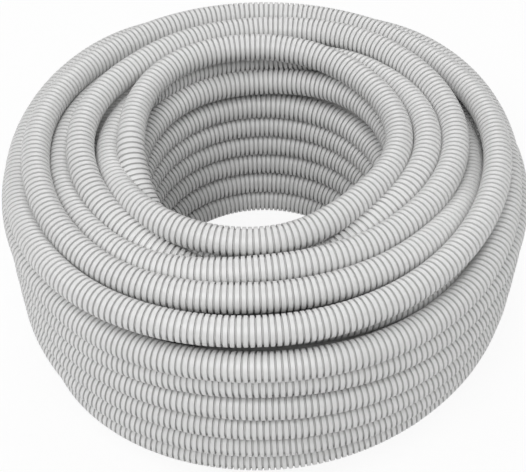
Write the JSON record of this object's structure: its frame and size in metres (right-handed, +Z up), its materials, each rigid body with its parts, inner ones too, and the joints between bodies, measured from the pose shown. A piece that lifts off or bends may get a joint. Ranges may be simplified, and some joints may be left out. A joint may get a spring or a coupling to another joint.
{
  "type": "corrugated conduit coil",
  "caption": "Coil of light grey corrugated flexible conduit, wound in nested turns round an open centre and lying flat on its end.",
  "frame": {"origin": "on the coil's axis, at the floor that the coil lies on", "axes": "+Z up along the coil's axis; -Y towards the viewer; the conduit's loose end is at the back left"},
  "size_m": [0.4806, 0.4806, 0.233],
  "materials": {
    "conduit": "light grey PVC with a slight sheen, moulded in close waves"
  },
  "bodies": {
    "root": {"conduit": "conduit"}
  },
  "joints": []
}
